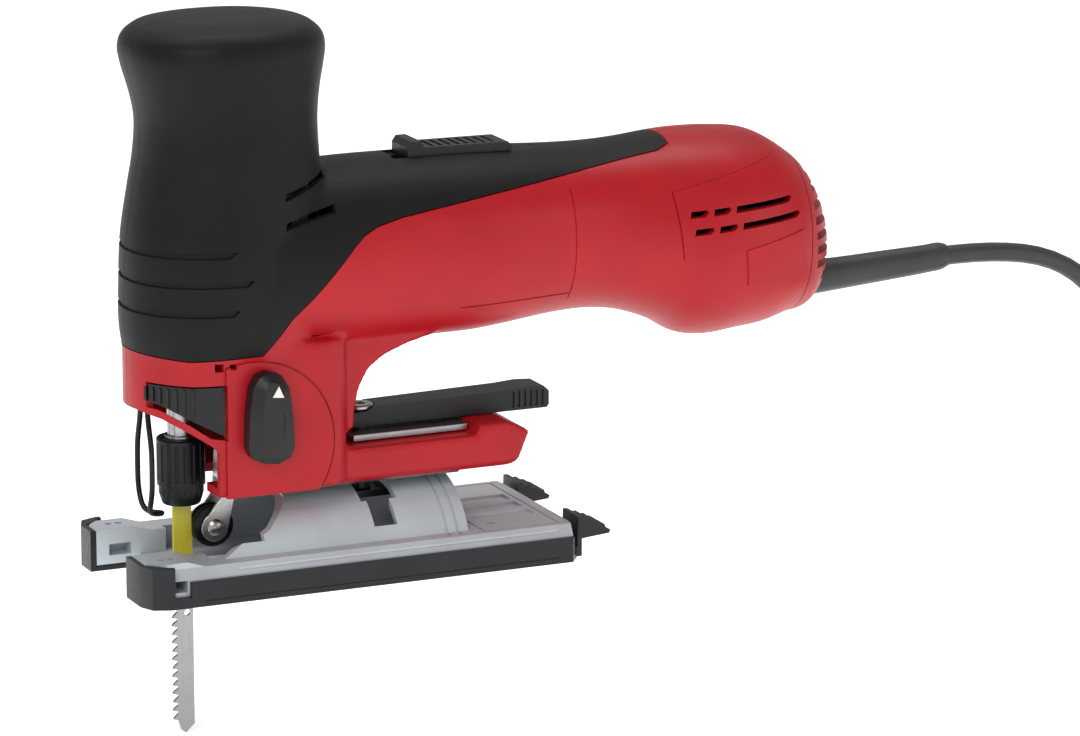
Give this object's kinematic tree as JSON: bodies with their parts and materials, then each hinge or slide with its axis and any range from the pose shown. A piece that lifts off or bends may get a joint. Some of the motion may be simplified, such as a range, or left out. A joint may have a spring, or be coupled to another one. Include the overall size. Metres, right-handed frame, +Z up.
{
  "type": "corded body-grip jigsaw",
  "caption": "Corded body-grip jigsaw with a barrel housing, a knob over the blade, a tilting shoe on a half-drum, a clamp lever, a roller guide and a coiled mains cord.",
  "frame": {"origin": "on the flat sole of the shoe, on the axis that the shoe tilts about, 78 mm behind the blade's centre line", "axes": "+X towards the cord, -X the cutting direction, +Z up through the knob, +Y the side without the clamp lever's front scale (the right side when the tool is pushed forwards)"},
  "size_m": [0.5315, 0.1092, 0.248],
  "materials": {
    "red_nylon": "satin-gloss moulded glass-filled nylon",
    "black_overmould": "soft-touch thermoplastic elastomer, fine texture",
    "black_plastic": "satin moulded plastic",
    "cast_aluminium": "blasted die-cast aluminium",
    "gear_case": "plain die-cast aluminium",
    "bright_steel": "ground steel",
    "dark_steel": "black-oxide steel",
    "blade_steel": "ground blade steel with a yellow coat near the shank",
    "bronze": "sintered bronze",
    "copper": "enamelled copper and steel laminations",
    "carbon": "carbon brush",
    "roller_steel": "hardened steel, dark",
    "cord_rubber": "smooth rubber sheath",
    "plug_metal": "nickel-plated blade"
  },
  "bodies": {
    "housing": {"left_housing": "red_nylon", "right_housing": "red_nylon", "left_grip": "black_overmould", "right_grip": "black_overmould", "rear_cap": "red_nylon", "left_vent_panel": "red_nylon", "right_vent_panel": "red_nylon", "gear_frame": "gear_case", "lower_bush": "bronze", "upper_bush": "bronze", "crank_axle": "bright_steel", "front_bearing": "bright_steel", "rear_bearing": "bright_steel", "bearing_bridge": "black_plastic", "stator": "copper", "left_brush_holder": "black_plastic", "right_brush_holder": "black_plastic", "left_brush": "carbon", "right_brush": "carbon", "switch_module": "black_plastic", "wire_guard": "dark_steel", "fork_pivot": "dark_steel", "clamp_plate": "bright_steel", "saddle_plate": "bright_steel", "clamp_bolt": "dark_steel", "housing_screw_1": "dark_steel", "housing_screw_2": "dark_steel", "housing_screw_3": "dark_steel", "housing_screw_4": "dark_steel", "housing_screw_5": "dark_steel", "strain_relief": "cord_rubber", "cord": "cord_rubber", "cord_coil": "cord_rubber", "cord_tie": "black_plastic", "plug_body": "cord_rubber", "plug_left_blade": "plug_metal", "plug_right_blade": "plug_metal"},
    "armature": {"armature_shaft": "bright_steel", "armature_core": "copper", "commutator": "copper", "fan": "black_plastic"},
    "crank": {"crank_gear": "bright_steel"},
    "blade_carrier": {"plunger": "bright_steel", "yoke": "bright_steel", "saw_blade": "blade_steel"},
    "chuck": {"chuck_sleeve": "dark_steel"},
    "release": {"release_lever": "black_plastic"},
    "fork": {"roller_fork": "dark_steel", "roller_pin": "bright_steel"},
    "roller": {"support_roller": "roller_steel"},
    "selector": {"orbit_selector": "black_plastic", "orbit_cam": "black_plastic"},
    "clamp": {"clamp_lever": "black_plastic", "clamp_screw": "bright_steel"},
    "shoe": {"shoe_plate": "cast_aluminium", "glide_cover": "black_plastic"},
    "switch": {"slide_switch": "black_plastic"}
  },
  "joints": [
    {"name": "armature_spin", "type": "hinge", "parent": "housing", "child": "armature", "pos_m": [0.05, 0, 0.1093], "axis": [1, 0, 0], "continuous": true},
    {"name": "crank_gear_spin", "type": "hinge", "parent": "housing", "child": "crank", "pos_m": [-0.05, 0, 0.1345], "axis": [1, 0, 0], "continuous": true},
    {"name": "plunger_slide", "type": "slide", "parent": "housing", "child": "blade_carrier", "axis": [0, 0, 1], "range_m": [0, 0.026]},
    {"name": "chuck_turn", "type": "hinge", "parent": "blade_carrier", "child": "chuck", "pos_m": [-0.078, 0, 0.038], "axis": [0, 0, 1], "range_deg": [0, 30], "stiffness_Nm_per_rad": 0.05, "springref_deg": -5.73},
    {"name": "release_lever_swing", "type": "hinge", "parent": "housing", "child": "release", "pos_m": [-0.072, -0.0243, 0.063], "axis": [0, 0, 1], "range_deg": [0, 60], "stiffness_Nm_per_rad": 0.02, "springref_deg": -11.46},
    {"name": "roller_fork_swing", "type": "hinge", "parent": "housing", "child": "fork", "pos_m": [-0.061, 0, 0.04], "axis": [0, 1, 0], "range_deg": [-3, 0]},
    {"name": "roller_spin", "type": "hinge", "parent": "fork", "child": "roller", "pos_m": [-0.0675, 0, 0.0177], "axis": [0, 1, 0], "continuous": true},
    {"name": "orbit_selector_turn", "type": "hinge", "parent": "housing", "child": "selector", "pos_m": [-0.0585, -0.03, 0.0525], "axis": [0, 1, 0], "range_deg": [0, 66]},
    {"name": "clamp_lever_swing", "type": "hinge", "parent": "housing", "child": "clamp", "pos_m": [-0.0125, 0, 0.05], "axis": [0, 0, 1], "range_deg": [-55, 0]},
    {"name": "shoe_tilt", "type": "hinge", "parent": "housing", "child": "shoe", "pos_m": [0, 0, 0], "axis": [1, 0, 0], "range_deg": [-45, 45]},
    {"name": "switch_slide", "type": "slide", "parent": "housing", "child": "switch", "axis": [-1, 0, 0], "range_m": [0, 0.0045]}
  ],
  "couplings": [
    {"joint": "armature_spin", "follows": "crank_gear_spin", "ratio": -6}
  ]
}
